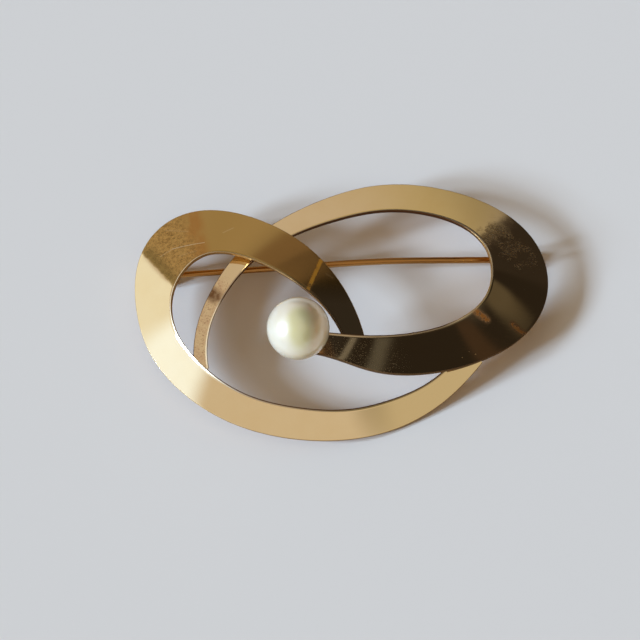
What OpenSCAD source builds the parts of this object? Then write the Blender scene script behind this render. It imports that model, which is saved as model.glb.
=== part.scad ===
// Pearl brooch: two loops of gold ribbon that cross each other, a pearl at their meeting point
// and a hinged pin behind them.
// It lies on its back, as it rests on a table: X runs along the pin, Y away from the wearer's
// chin edge, Z up. The origin is the middle of its footprint on the table.
// Lengths are in millimetres and angles in degrees.

/* [Ribbons] */
// Thickness of the gold sheet that both ribbons are cut from
sheet = 0.5; // [0.4:0.05:0.6]
// Straight steps that each stretch between two stations is drawn with
ribbon_steps = 8; // [4:1:12]

/* [Pearl] */
// Diameter of the pearl
pearl_d = 7.4; // [6.8:0.1:7.8]
// Distance of the pearl's centre along X
pearl_x = -5.8; // [-6.2:0.1:-5.4]
// Distance of the pearl's centre along Y
pearl_y = -6.7; // [-6.9:0.1:-6.5]
// Height of the pearl's centre over the table
pearl_z = 10.95; // [10.9:0.05:11.2]
// Diameter of the peg that the pearl is glued on
peg_d = 0.8; // [0.6:0.1:1]
// Length of the peg inside the pearl
peg_reach = 3.4; // [2:0.1:4]
// Depth of the drilled hole beyond the end of the peg
drill_spare = 0.3; // [0.2:0.1:0.6]
// Clearance of the peg in the drilled hole, on the radius
glue_gap = 0.05; // [0.03:0.01:0.1]

/* [Hinge] */
// Distance of the hinge axis along X
hinge_x = -22.1; // [-22.3:0.1:-21.9]
// Distance of the pin's middle line along Y
pin_y = 7.15; // [7:0.05:7.3]
// Height of the hinge axis, which is also the round foot of both cheeks
hinge_z = 1.25; // [1.2:0.05:1.3]
// Thickness of each hinge cheek
cheek_t = 0.5; // [0.4:0.05:0.6]
// Width of each hinge cheek along X
cheek_w = 2.5; // [2.4:0.1:2.6]
// Diameter of the rivet's shank
rivet_d = 0.8; // [0.7:0.05:0.9]
// Diameter of the rivet's two heads
rivet_head_d = 1.3; // [1.1:0.1:1.5]
// Thickness of the rivet's heads
rivet_head_t = 0.25; // [0.2:0.05:0.3]

/* [Pin] */
// Outer diameter of the eye that turns on the rivet
eye_d = 2; // [1.8:0.1:2.2]
// Length of the eye between the cheeks
eye_w = 1.1; // [1:0.1:1.2]
// Diameter of the pin stem
stem_d = 0.8; // [0.7:0.05:0.85]
// Straight length from the hinge axis to the spring bend
stem_run = 23; // [22:0.5:24]
// Radius of the spring bend in the middle of the stem
bend_r = 80; // [60:5:100]
// Slope of the stem up from the hinge
stem_rise = 2.6; // [2.4:0.1:2.8]
// Slope of the stem down to the catch
stem_fall = 4.2; // [4:0.1:4.4]
// Distance along X from the hinge axis to the tip
stem_reach = 44.8; // [44:0.2:45.4]
// Length of the sharpened end
taper = 3.6; // [3:0.2:4.4]
// Diameter of the tip
tip_d = 0.3; // [0.2:0.05:0.4]

/* [Catch] */
// Distance of the middle of the catch along X
catch_x = 21.4; // [21.2:0.1:21.6]
// Width of the strip that the catch is bent from
catch_w = 1.6; // [1.4:0.1:1.8]
// Thickness of that strip
catch_t = 0.45; // [0.4:0.05:0.5]
// Inner radius of the hook
catch_r = 0.9; // [0.85:0.05:0.95]
// Half of the hook's mouth, which opens away from the ribbon
mouth = 0.5; // [0.48:0.01:0.55]

/* [Hidden] */

gold = "#c8a35c";
pale_gold = "#d9bd84";
steel_gold = "#b98a45";
nacre = "#f1ead8";

// Small clearances of the moving and riveted fits
run_gap = 0.05;
rivet_gap = 0.02;
// How far a soldered piece sinks into the ribbon that it stands on
solder = 0.1;
// The spring bend is this much thicker than the straight runs, and each run ends this far inside it
bend_swell = 0.02;
bend_lap = 0.1;

// Each ribbon is a strip that is straight across and follows a smooth curve through its stations.
// A station pulls the curve towards its place. Bank tips the strip: its inner edge, on the left
// of the way along, rises and its outer edge drops.
// x, y, height of the middle, width, bank
LEFT_STATIONS = [
    [  1.5, -15.1, 5.6, 2.4,  0],
    [  1.6,  -7.0, 5.9, 2.2,  2],
    [ -0.9,   0.1, 6.3, 3.5,  4],
    [ -5.9,   5.9, 6.7, 5.6,  6],
    [-12.5,   9.7, 6.7, 6.2,  8],
    [-18.2,  10.1, 6.5, 7.8, 10],
    [-21.7,   6.6, 6.1, 7.6, 20],
    [-23.1,   1.1, 5.3, 4.9, 32],
    [-22.1,  -4.7, 4.7, 4.3, 33],
    [-18.1,  -9.9, 4.1, 4.1, 29],
    [-12.9, -13.5, 3.4, 3.8, 26],
    [ -6.7, -15.0, 2.6, 3.9, 25],
    [ -0.4, -15.1, 1.6, 3.6, 25],
    [  5.3, -13.5, 0.8, 3.7, 25],
    [ 10.8, -11.0, 1.2, 2.9, 23],
    [ 15.3,  -7.3, 3.4, 2.7, 16],
    [ 19.2,  -2.3, 5.8, 3.4,  9]
];
RIGHT_STATIONS = [
    [-14.4,  -5.2, 7.2, 2.9, -2],
    [ -6.8,  -5.8, 7.0, 2.5,  0],
    [ -1.1,  -6.9, 6.7, 3.1,  2],
    [  3.4,  -8.1, 6.0, 4.9,  5],
    [  8.7,  -7.7, 5.0, 5.4, 10],
    [ 14.6,  -5.9, 4.0, 5.6, 15],
    [ 19.9,  -2.5, 3.9, 6.7, 20],
    [ 22.0,   2.7, 4.2, 8.1, 24],
    [ 21.0,   8.1, 4.4, 7.3, 21],
    [ 16.8,  12.2, 4.6, 5.3, 16],
    [ 10.8,  14.4, 4.8, 4.7, 12],
    [  4.9,  14.8, 5.0, 4.4,  9],
    [ -0.8,  13.1, 5.4, 3.8,  7],
    [ -6.4,  10.5, 5.9, 3.0,  5],
    [-11.3,   6.9, 6.2, 2.4,  5],
    [-14.8,   2.3, 5.9, 1.9,  3],
    [-17.3,  -2.6, 5.2, 1.6,  0],
    [-17.7,  -8.1, 4.6, 1.7,  8],
    [-16.0, -14.1, 4.1, 2.2, 16]
];

// Weights of four neighbouring stations at the fraction u of the stretch between the middle two,
// and their rates of change there: a uniform cubic spline
function pull(u) = [pow(1 - u, 3), 3 * u * u * u - 6 * u * u + 4,
    -3 * u * u * u + 3 * u * u + 3 * u + 1, u * u * u] / 6;
function pull_rate(u) = [-(1 - u) * (1 - u), 3 * u * u - 4 * u,
    -3 * u * u + 2 * u + 1, u * u] / 2;
function mix(stations, i, w) =
    w[0] * stations[i] + w[1] * stations[i + 1] + w[2] * stations[i + 2] + w[3] * stations[i + 3];
function unit(v) = v / norm(v);

// The strip at fraction u of stretch i: its middle, the direction across it towards the inner
// edge, the direction out of its face, and its width
function strip(stations, i, u) =
    let (
        here = mix(stations, i, pull(u)),
        ahead = mix(stations, i, pull_rate(u)),
        along = unit([ahead[0], ahead[1], ahead[2]]),
        level = unit([-ahead[1], ahead[0], 0]),
        across = cos(here[4]) * level + sin(here[4]) * [0, 0, 1]
    )
    [[here[0], here[1], here[2]], across, unit(cross(along, across)), here[3]];

// The four corners of the strip's section, outer top first
function corners(s) =
    let (half = s[1] * s[3] / 2, up = s[2] * sheet / 2)
    [s[0] - half + up, s[0] + half + up, s[0] + half - up, s[0] - half - up];

// Height of the ribbon's middle layer over the point x, y, close to fraction u of stretch i
function layer_height(stations, i, u, x, y) =
    let (s = strip(stations, i, u))
    s[0][2] - (s[2][0] * (x - s[0][0]) + s[2][1] * (y - s[0][1])) / s[2][2];

// Where the hinge and the catch are soldered: stretch and fraction of the ribbon over them
HINGE_SEAT = [4, 0.95];
CATCH_SEAT = [6, 0.5];

catch_outer_r = catch_r + catch_t;
mouth_angle = asin(mouth / catch_r);
// The tips of the hook touch the table
catch_z = catch_outer_r * cos(mouth_angle);
cheek_gap = eye_w + 2 * run_gap;

module ribbon(stations) {
    stretches = len(stations) - 3;
    rings = concat(
        [for (i = [0:stretches - 1], k = [0:ribbon_steps - 1])
            corners(strip(stations, i, k / ribbon_steps))],
        [corners(strip(stations, stretches - 1, 1))]
    );
    last = len(rings) - 1;
    points = [for (ring = rings, corner = ring) corner];
    sides = [for (j = [0:last - 1], c = [0:3])
        let (a = 4 * j + c, b = 4 * j + (c + 1) % 4)
        each [[a, b + 4, a + 4], [a, b, b + 4]]];
    start_cap = [[0, 2, 1], [0, 3, 2]];
    end_cap = [[4 * last, 4 * last + 1, 4 * last + 2], [4 * last, 4 * last + 2, 4 * last + 3]];
    polyhedron(points, concat(sides, start_cap, end_cap));
}

// A flat strut across X, cut off slantwise inside the ribbon above it
module strut(stations, seat, x, y, width, depth, foot) {
    left_top = layer_height(stations, seat[0], seat[1], x - width / 2, y) - solder;
    right_top = layer_height(stations, seat[0], seat[1], x + width / 2, y) - solder;
    translate([0, y + depth / 2, 0])
        rotate([90, 0, 0])
            linear_extrude(depth)
                polygon([[x - width / 2, foot], [x + width / 2, foot],
                    [x + width / 2, right_top], [x - width / 2, left_top]]);
}

module hinge_cheek(side) {
    middle_y = pin_y + side * (cheek_gap + cheek_t) / 2;
    difference() {
        union() {
            strut(LEFT_STATIONS, HINGE_SEAT, hinge_x, middle_y, cheek_w, cheek_t, hinge_z);
            along_y(hinge_x, middle_y, hinge_z)
                cylinder(r = hinge_z, h = cheek_t, center = true, $fn = 64);
        }
        along_y(hinge_x, middle_y, hinge_z)
            cylinder(r = rivet_d / 2 + rivet_gap, h = cheek_t + 1, center = true, $fn = 48);
    }
}

// Turns a child that stands on Z so that it lies along Y at the given place
module along_y(x, y, z) {
    translate([x, y, z])
        rotate([90, 0, 0])
            children();
}

module catch_hook() {
    translate([catch_x, pin_y, catch_z])
        rotate([0, 90, 0])
            rotate([0, 0, mouth_angle])
                rotate_extrude(angle = 360 - 2 * mouth_angle, $fn = 64)
                    translate([catch_r, -catch_w / 2])
                        square([catch_t, catch_w]);
}

module catch_neck() {
    strut(RIGHT_STATIONS, CATCH_SEAT, catch_x, pin_y, catch_w - 0.2, 0.9,
        catch_z + catch_r + catch_t / 2);
}

module peg() {
    foot = pearl_z - pearl_d / 2 - sheet / 2;
    translate([pearl_x, pearl_y, foot])
        cylinder(d = peg_d, h = sheet / 2 + peg_reach, $fn = 48);
}

// All that is soldered together: both ribbons, the peg, the hinge cheeks and the catch
module ribbon_frame() {
    color(gold)
        union() {
            ribbon(LEFT_STATIONS);
            ribbon(RIGHT_STATIONS);
            peg();
            hinge_cheek(-1);
            hinge_cheek(1);
            catch_hook();
            catch_neck();
        }
}

module pearl() {
    bottom = pearl_z - pearl_d / 2;
    color(nacre)
        difference() {
            translate([pearl_x, pearl_y, pearl_z])
                sphere(d = pearl_d, $fn = 96);
            translate([pearl_x, pearl_y, bottom - 1])
                cylinder(d = peg_d + 2 * glue_gap, h = 1 + peg_reach + drill_spare, $fn = 48);
        }
}

// The stem in its own plane, from the hinge axis: up the rise, round the spring bend, down the fall
module stem() {
    bend_end_x = stem_run * cos(stem_rise) + bend_r * (sin(stem_rise) + sin(stem_fall));
    fall_run = (stem_reach - bend_end_x) / cos(stem_fall) - taper;
    start = eye_d / 2 - 0.25;
    rotate([0, -stem_rise, 0]) {
        rotate([0, 90, 0])
            translate([0, 0, start])
                cylinder(d = stem_d, h = stem_run + bend_lap - start, $fn = 32);
        translate([stem_run, 0, -bend_r])
            rotate([0, -90, 0])
                rotate([90, 0, 0])
                    rotate([0, 0, -(stem_rise + stem_fall)])
                        rotate_extrude(angle = stem_rise + stem_fall, $fn = 360)
                            translate([bend_r, 0])
                                circle(d = stem_d + bend_swell, $fn = 32);
        translate([stem_run, 0, -bend_r])
            rotate([0, stem_rise + stem_fall, 0])
                translate([0, 0, bend_r])
                    rotate([0, 90, 0]) {
                        translate([0, 0, -bend_lap])
                            cylinder(d = stem_d, h = fall_run + bend_lap, $fn = 32);
                        translate([0, 0, fall_run])
                            cylinder(d1 = stem_d, d2 = tip_d, h = taper, $fn = 32);
                    }
    }
}

module pin_stem() {
    color(pale_gold)
        difference() {
            union() {
                along_y(hinge_x, pin_y, hinge_z)
                    cylinder(d = eye_d, h = eye_w, center = true, $fn = 64);
                translate([hinge_x, pin_y, hinge_z])
                    stem();
            }
            along_y(hinge_x, pin_y, hinge_z)
                cylinder(d = rivet_d + 2 * run_gap, h = eye_w + 1, center = true, $fn = 48);
        }
}

module hinge_rivet() {
    span = cheek_gap + 2 * cheek_t + 2 * rivet_gap;
    color(steel_gold)
        union() {
            along_y(hinge_x, pin_y, hinge_z)
                cylinder(d = rivet_d, h = span + 2 * rivet_head_t, center = true, $fn = 48);
            for (side = [-1, 1])
                along_y(hinge_x, pin_y + side * (span + rivet_head_t) / 2, hinge_z)
                    cylinder(d = rivet_head_d, h = rivet_head_t, center = true, $fn = 48);
        }
}

ribbon_frame();
pearl();
pin_stem();
hinge_rivet();
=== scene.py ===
# %% [markdown]
# # A pearl brooch of two crossing gold ribbons
#
# The brooch lies on its back on a pale table. Two long strips of gold sheet are bent into loops and
# soldered where they cross, a pearl sits where they meet, and a hinged pin runs behind them.
# The construction model gives every size and place. Here each piece is made again with the surface
# that the eye sees: even bends, rounded edges, polish with its scratches, and nacre.

# %% Load the frame
import math

import bpy
import bmesh
from mathutils import Matrix, Vector


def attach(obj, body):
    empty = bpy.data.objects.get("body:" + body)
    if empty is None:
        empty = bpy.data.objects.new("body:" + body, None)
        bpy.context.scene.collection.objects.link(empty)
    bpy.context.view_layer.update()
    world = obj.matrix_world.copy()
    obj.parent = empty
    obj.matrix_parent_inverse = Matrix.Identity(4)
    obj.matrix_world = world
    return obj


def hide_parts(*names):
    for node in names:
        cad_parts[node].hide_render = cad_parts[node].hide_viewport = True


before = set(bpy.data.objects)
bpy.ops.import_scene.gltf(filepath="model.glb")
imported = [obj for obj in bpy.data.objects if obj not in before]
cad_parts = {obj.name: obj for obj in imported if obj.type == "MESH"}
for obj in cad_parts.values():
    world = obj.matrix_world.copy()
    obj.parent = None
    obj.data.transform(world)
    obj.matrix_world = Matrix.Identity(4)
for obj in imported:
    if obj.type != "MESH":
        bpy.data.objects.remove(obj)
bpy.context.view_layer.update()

# %% [markdown]
# ## Five small helpers
#
# Blender works in metres and in linear light, while a jeweller works in millimetres and a colour is
# easiest to name as a hex value, so two functions translate. The third adds one node to a tree with
# its settings and its links, for shaders and for geometry alike, and the fourth is short for one that
# calculates. The last puts a new object in the scene.

# %% Units, colours and nodes
MM = 0.001


def mm(*values):
    """A point or size given in millimetres, in metres."""
    return Vector([value * MM for value in values])


def linear(hex_colour):
    """An sRGB hex colour as the linear colour that a node takes."""
    shares = [int(hex_colour[i:i + 2], 16) / 255 for i in (1, 3, 5)]
    return [s / 12.92 if s <= 0.04045 else ((s + 0.055) / 1.055) ** 2.4 for s in shares] + [1.0]


def add(tree, kind, inputs=None, **settings):
    """Adds a node. An input is a value, a node's output, or a node, which stands for its first output."""
    made = tree.nodes.new(kind)
    for name, value in settings.items():
        setattr(made, name, value)
    for key, value in (inputs or {}).items():
        if isinstance(value, bpy.types.Node):
            value = value.outputs[0]
        if isinstance(value, bpy.types.NodeSocket):
            tree.links.new(value, made.inputs[key])
        else:
            made.inputs[key].default_value = value
    return made


def calc(tree, operation, *inputs):
    """Adds a node that calculates with its inputs, and gives its output."""
    return add(tree, "ShaderNodeMath", dict(enumerate(inputs)), operation=operation).outputs[0]


def show(name, data):
    """A new object in the scene, made of this mesh, curve or camera."""
    made = bpy.data.objects.new(name, data)
    bpy.context.scene.collection.objects.link(made)
    return made


print("a tenth of a millimetre is", mm(0.1, 0, 0).x, "m")

# %% [markdown]
# ## The camera
#
# The picture looks down at the table at 60 degrees, three degrees round to the left, from 30 cm away.
# A long lens keeps the two loops in their true proportion.

# %% Camera
CAMERA_TURN = math.radians(-3)
CAMERA_HEIGHT = math.radians(60)
CAMERA_DISTANCE = 0.3
CAMERA_TARGET = mm(-2.94, -1.113, 3.0)
LENS_MM = 139.56

camera = show("camera", bpy.data.cameras.new("camera"))
bpy.context.scene.camera = camera
back = Vector((
    math.sin(CAMERA_TURN) * math.cos(CAMERA_HEIGHT),
    -math.cos(CAMERA_TURN) * math.cos(CAMERA_HEIGHT),
    math.sin(CAMERA_HEIGHT),
))
camera.location = CAMERA_TARGET + CAMERA_DISTANCE * back
camera.rotation_euler = (-back).to_track_quat("-Z", "Y").to_euler()
camera.data.lens = LENS_MM
camera.data.sensor_width = 36
camera.data.clip_start = 0.01
print("camera at", [round(c, 4) for c in camera.location])

# %% [markdown]
# ## The table
#
# A smooth board in a matt, pale stone paint. Daylight from the window is bluish and the room's own
# light is warm, so the open table looks neutral and every shadow on it turns brown.

# %% Table
TABLE_REACH = 3.0

table = show("table", bpy.data.meshes.new("table"))
corners = [(x * TABLE_REACH, y * TABLE_REACH, 0) for x, y in ((-1, -1), (1, -1), (1, 1), (-1, 1))]
table.data.from_pydata(corners, [], [(0, 1, 2, 3)])

paint = bpy.data.materials.new("matt pale paint")
paint.use_nodes = True
paint_shader = paint.node_tree.nodes["Principled BSDF"]
paint_shader.inputs["Base Color"].default_value = linear("#d0c4b6")
paint_shader.inputs["Roughness"].default_value = 0.85
paint_shader.inputs["Specular IOR Level"].default_value = 0.2
table.data.materials.append(paint)
print("table side in m:", 2 * TABLE_REACH)

# %% [markdown]
# ## The light
#
# Polished metal shows the room and not itself, so the room matters as much as the metal. It is a
# warm pale room with a window of two tall sashes on the left, a bright curtain above it, a warm wall
# behind, and an open doorway into the dark on the right, which turns the right ribbon nearly black.
# The strip of wall by the door and the few dim things inside keep that black alive. Each row of the
# table below is a flat rectangle with soft edges, painted on the sky over the rows before it.

# %% A room painted on the sky
ROOM = (0.551, 0.461, 0.369)
# a rectangle shows only where its middle lies ahead of the direction looked in, by this cosine
ONLY_AHEAD = 0.05
# name, compass angle of its middle (0 is +X, 90 is +Y), height of its middle, roll, half width,
# half height (all in degrees), softness of its edges (share of the half sizes), and its light as
# red, green and blue
ROOM_PARTS = [
    ("ceiling", 270, 64, 0, 62, 30, 0.35, (0.62, 0.53, 0.42)),
    ("warm wall", 78, 25, 10, 20.6, 17.3, 0.62, (0.46, 0.375, 0.221)),
    ("left wall", 165, 34, 25, 20.5, 24, 0.08, (0.86, 0.85, 0.77)),
    ("curtain", 192, 42, 0, 26, 17, 0.6, (1.02, 1.13, 1.28)),
    ("front right wall", 325, 24, 0, 42, 26, 0.3, (0.2, 0.16, 0.07)),
    ("window, near sash", 190, 26.5, 0, 4.5, 7, 0.35, (74, 105, 150)),
    ("window, far sash", 203, 23, 0, 4.5, 7, 0.35, (74, 105, 150)),
    ("doorway", 28, 49.4, 17, 39.2, 33.7, 0.52, (0.022, 0.016, 0.011)),
    ("chest", 58.8, 13.7, -14.5, 42, 12, 0.05, (0.04, 0.028, 0.02)),
    ("olive cloth", 6.5, 54, -62, 14, 3, 0.65, (0.094, 0.073, 0.046)),
    ("wall by the door", 75, 50.5, -59.5, 6.5, 4.2, 0.25, (0.3, 0.215, 0.16)),
    ("door edge", 76.2, 59.6, -59.5, 8.2, 5.3, 0.08, (0.028, 0.022, 0.017)),
    ("chair", 13.8, 63, 0, 2.2, 6, 0.6, (0.05, 0.03, 0.018)),
    ("door leaf", 43, 34, 0, 14, 12, 0.3, (0.03, 0.022, 0.016)),
    ("first frame", 57, 65, 0, 1.2, 8, 0.6, (0.17, 0.15, 0.125)),
    ("second frame", 41, 63, 0, 1.8, 6, 0.8, (0.09, 0.08, 0.065)),
]

world = bpy.data.worlds.new("room")
bpy.context.scene.world = world
world.use_nodes = True
sky = world.node_tree
sky.nodes.clear()
direction = add(sky, "ShaderNodeTexCoord").outputs["Generated"]


def along_axis(axis):
    """How far the direction into the sky points along an axis."""
    made = add(sky, "ShaderNodeVectorMath", {0: direction, 1: axis}, operation="DOT_PRODUCT")
    return made.outputs["Value"]


painted = None
for name, turn, height, roll, half_wide, half_high, soft, light in ROOM_PARTS:
    turn, height, roll = math.radians(turn), math.radians(height), math.radians(roll)
    middle = Vector((
        math.cos(turn) * math.cos(height), math.sin(turn) * math.cos(height), math.sin(height),
    ))
    level = Vector((-math.sin(turn), math.cos(turn), 0))
    upright = middle.cross(level)
    side = level * math.cos(roll) + upright * math.sin(roll)
    over = upright * math.cos(roll) - level * math.sin(roll)
    ahead = along_axis(middle)
    inside = calc(sky, "GREATER_THAN", ahead, ONLY_AHEAD)
    for axis, half in ((side, half_wide), (over, half_high)):
        reach = math.tan(math.radians(half))
        away = calc(sky, "ABSOLUTE", calc(sky, "DIVIDE", along_axis(axis), ahead))
        edge = add(sky, "ShaderNodeMapRange", {
            "Value": away, "From Min": reach, "From Max": reach * (1 - soft), "To Min": 0.0, "To Max": 1.0,
        }, interpolation_type="SMOOTHSTEP")
        inside = calc(sky, "MULTIPLY", inside, edge)
    under = ROOM if painted is None else painted
    painted = add(sky, "ShaderNodeMix", {"Factor": inside, 4: under, 5: light}, data_type="VECTOR").outputs[1]
    print("painted:", name)

seen = add(sky, "ShaderNodeLightPath").outputs["Is Camera Ray"]
lighting = add(sky, "ShaderNodeBackground", {"Color": painted})
backdrop = add(sky, "ShaderNodeBackground", {"Color": linear("#c9cacc")})
chosen = add(sky, "ShaderNodeMixShader", {0: seen, 1: lighting, 2: backdrop})
add(sky, "ShaderNodeOutputWorld", {"Surface": chosen})
bpy.context.scene.view_settings.view_transform = "Standard"

# %% [markdown]
# ## Gold
#
# Fourteen carat yellow gold is paler than fine gold. It was cut from rolled sheet, polished on a felt
# wheel and then worn for decades. Where it mirrors something bright it looks perfect. Where it mirrors
# the dark doorway every hairline, rubbed spot and grain of dust shows. A metal is therefore built in
# layers: a clean polish first, then each kind of wear laid over it through a mask.

# %% Masks and layers
def near_line(tree, place, start, end, half_wide, soft):
    """1 within half_wide mm of a line between two points x, y in mm, falling to 0 over soft mm."""
    along = mm(end[0] - start[0], end[1] - start[1], 0)
    plan = add(tree, "ShaderNodeVectorMath", {0: place, 1: (1, 1, 0)}, operation="MULTIPLY")
    offset = add(tree, "ShaderNodeVectorMath", {0: plan, 1: mm(*start, 0)}, operation="SUBTRACT")
    reach = add(tree, "ShaderNodeVectorMath",
                {0: offset, 1: along / along.length_squared}, operation="DOT_PRODUCT")
    share = add(tree, "ShaderNodeMath", {0: reach.outputs["Value"], 1: 0.0}, operation="ADD", use_clamp=True)
    nearest = add(tree, "ShaderNodeVectorMath", {0: along, "Scale": share}, operation="SCALE")
    away = add(tree, "ShaderNodeVectorMath", {0: offset, 1: nearest}, operation="DISTANCE")
    return add(tree, "ShaderNodeMapRange", {
        "Value": away.outputs["Value"], "From Min": half_wide * MM, "From Max": (half_wide + soft) * MM,
        "To Min": 1.0, "To Max": 0.0,
    }, interpolation_type="SMOOTHSTEP").outputs[0]


def mottle(tree, place, size, low, high, detail=2.0, stretch=(1, 1, 1), turn=0.0):
    """Noise with spots of about size mm, as a mask that is 0 below low and 1 above high."""
    turned = add(tree, "ShaderNodeMapping", {
        "Vector": place, "Rotation": (0, 0, math.radians(turn)),
        "Scale": [1 / (size * MM * s) for s in stretch],
    })
    grain = add(tree, "ShaderNodeTexNoise", {"Vector": turned, "Scale": 1.0, "Detail": detail})
    return add(tree, "ShaderNodeMapRange", {
        "Value": grain.outputs["Fac"], "From Min": low, "From Max": high,
    }).outputs[0]


def product(tree, *masks):
    """Several masks or shares multiplied."""
    made = masks[0]
    for mask in masks[1:]:
        made = calc(tree, "MULTIPLY", made, mask)
    return made


def clean_metal(name, colour, haze):
    """A polished metal as a set of layers, to be covered with wear and then closed."""
    made = bpy.data.materials.new(name)
    made.use_nodes = True
    tree = made.node_tree
    place = add(tree, "ShaderNodeTexCoord").outputs["Object"]
    return {
        "material": made, "tree": tree, "place": place,
        "colour": linear(colour), "haze": haze, "height": 0.0,
    }


def cover(metal, mask, colour, haze):
    """Lays another colour and haze over the metal where the mask says so."""
    tree = metal["tree"]
    metal["colour"] = add(tree, "ShaderNodeMix", {"Factor": mask, 6: metal["colour"], 7: linear(colour)},
                          data_type="RGBA").outputs[2]
    metal["haze"] = add(tree, "ShaderNodeMix", {"Factor": mask, 2: metal["haze"], 3: haze},
                        data_type="FLOAT").outputs[0]


def raise_by(metal, mask, height):
    """Raises (or with a minus sinks) the surface by height mm where the mask says so."""
    metal["height"] = calc(metal["tree"], "MULTIPLY_ADD", mask, height, metal["height"])


def hairlines(metal, depth):
    """Fine scratches in three directions, drawn about five times as wide as the real hundredth of a mm."""
    for turn, long, thin in ((18, 3.0, 0.05), (-52, 2.2, 0.06), (85, 2.6, 0.05)):
        lines = mottle(metal["tree"], metal["place"], 1.0, 0.66, 0.8, 1.0, (long, thin, 0.6), turn)
        raise_by(metal, lines, -depth)


def close(metal):
    """Joins the layers to the shader."""
    tree = metal["tree"]
    shader = tree.nodes["Principled BSDF"]
    shader.inputs["Metallic"].default_value = 1.0
    bump = add(tree, "ShaderNodeBump", {"Height": metal["height"], "Strength": 1.0, "Distance": MM})
    tree.links.new(bump.outputs[0], shader.inputs["Normal"])
    for layer, socket in (("colour", "Base Color"), ("haze", "Roughness")):
        if isinstance(metal[layer], bpy.types.NodeSocket):
            tree.links.new(metal[layer], shader.inputs[socket])
        else:
            shader.inputs[socket].default_value = metal[layer]
    return metal["material"]


print("layer tools ready")

# %% [markdown]
# ### Polished sheet and its rims
#
# Both ribbons start from the same polish, with a faint smear of handling and fine scratches. The rims
# were sawn and filed but never polished, so they stay duller than the faces, and they are given a
# darker colour. The underside was only brushed to a satin. On parts of the lip and the inner rim a dark
# brown is laid as painted shade and painted dark reflection. The ribbon's own mesh carries a mask for
# each of these parts: rim, outer, lip and under.

# %% Polished sheet and its rims
GOLD = "#f9e6bf"


def worn_ribbon(name):
    """The polish that both ribbons share, with its smears and scratches."""
    metal = clean_metal(name, GOLD, 0.05)
    smear = mottle(metal["tree"], metal["place"], 2.5, 0.4, 0.75)
    cover(metal, product(metal["tree"], smear, 0.3), "#f4dcae", 0.08)
    hairlines(metal, 0.00025)
    return metal


def part_of_sheet(metal, name):
    """The mask that the ribbon's mesh carries for its rims, its lip or its underside."""
    return add(metal["tree"], "ShaderNodeAttribute", attribute_name=name).outputs["Fac"]


def rims_with_painted_shade(metal, painted_rim_shade, outer):
    """The satin underside, the file's matt lip, the rims, and painted shade in dark brown where the mask
    says.
    """
    lip, rim = part_of_sheet(metal, "lip"), part_of_sheet(metal, "rim")
    cover(metal, part_of_sheet(metal, "under"), "#e3ae62", 0.38)
    cover(metal, lip, "#fcebca", 0.46)
    cover(metal, rim, "#bf9a64", 0.27)
    cover(metal, part_of_sheet(metal, "outer"), outer, 0.7)
    either = calc(metal["tree"], "MAXIMUM", lip, rim)
    # painted shade and painted dark reflection: a dark brown on the lip and the rim where the mask says
    cover(metal, product(metal["tree"], either, painted_rim_shade), "#5e3c20", 0.4)


def from_y(metal, start, end):
    """A mask that goes from 0 at y = start mm to 1 at y = end mm."""
    spot = add(metal["tree"], "ShaderNodeSeparateXYZ", {0: metal["place"]})
    return add(metal["tree"], "ShaderNodeMapRange", {
        "Value": spot.outputs["Y"], "From Min": start * MM, "From Max": end * MM,
    }).outputs[0]


def scratches(metal, colour, haze, soft, marks):
    """Single scratches and specks, each from one point to another, with its half width and strength."""
    for start, end, half_wide, strength in marks:
        mark = near_line(metal["tree"], metal["place"], start, end, half_wide, soft)
        cover(metal, product(metal["tree"], mark, strength), colour, haze)


print("polish:", GOLD)

# %% [markdown]
# ### Wear of the left ribbon
#
# The back of the loop wears a thin brown tarnish that ends in a clear, slightly ragged line. Beside
# that line the tarnish is darker and finely grained, and single scratches cross it. An orange streak
# near the ribbon's start is a painted reflection of a thin light strip of the room, and the arm at the
# front is tinged with olive.

# %% Gold of the left ribbon
# the tarnish line: the direction across it, where it begins and ends along that, and its raggedness
TARNISH_WAY, TARNISH_FROM, TARNISH_TO, TARNISH_RAGGED = (0.846, 0.534, 0), -16.25, -15.95, 0.15

left = worn_ribbon("polished gold, left ribbon")
tree, place = left["tree"], left["place"]
ragged = mottle(tree, place, 0.9, 0.3, 0.7, 2.0)
past_line = add(tree, "ShaderNodeVectorMath", {0: place, 1: TARNISH_WAY}, operation="DOT_PRODUCT")
past_line = calc(tree, "MULTIPLY_ADD", ragged, -TARNISH_RAGGED * MM, past_line.outputs["Value"])
past_line = add(tree, "ShaderNodeMapRange", {
    "Value": past_line, "From Min": TARNISH_FROM * MM, "From Max": TARNISH_TO * MM,
})
tarnish = product(tree, past_line, from_y(left, -1, 2))
cover(left, tarnish, "#c5a76a", 0.08)

warm_edge = near_line(tree, place, (-18.0, 12.6), (-17.2, 6.6), 0.5, 1.3)
streaky = mottle(tree, place, 1.4, 0.2, 0.6, 3.0, (0.8, 2.0, 1.0), -8)
cover(left, product(tree, warm_edge, streaky, 0.6), "#bd8546", 0.12)

grained = product(tree, near_line(tree, place, (-23.4, 13.4), (-19.6, 3.6), 2.0, 2.6), tarnish)
lumps = mottle(tree, place, 0.42, 0.4, 0.62, 4.0)
cover(left, product(tree, grained, lumps, 0.75), "#7f6234", 0.22)
fine = product(tree, grained, mottle(tree, place, 0.12, 0.42, 0.62, 2.0))
cover(left, product(tree, fine, 0.7), "#e6bd78", 0.24)
raise_by(left, fine, 0.002)
line_side = product(tree, near_line(tree, place, (-23.4, 7.8), (-20.7, 3.2), 0.2, 1.4), tarnish)
cover(left, product(tree, line_side, 0.6), "#7c6b40", 0.14)

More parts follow.
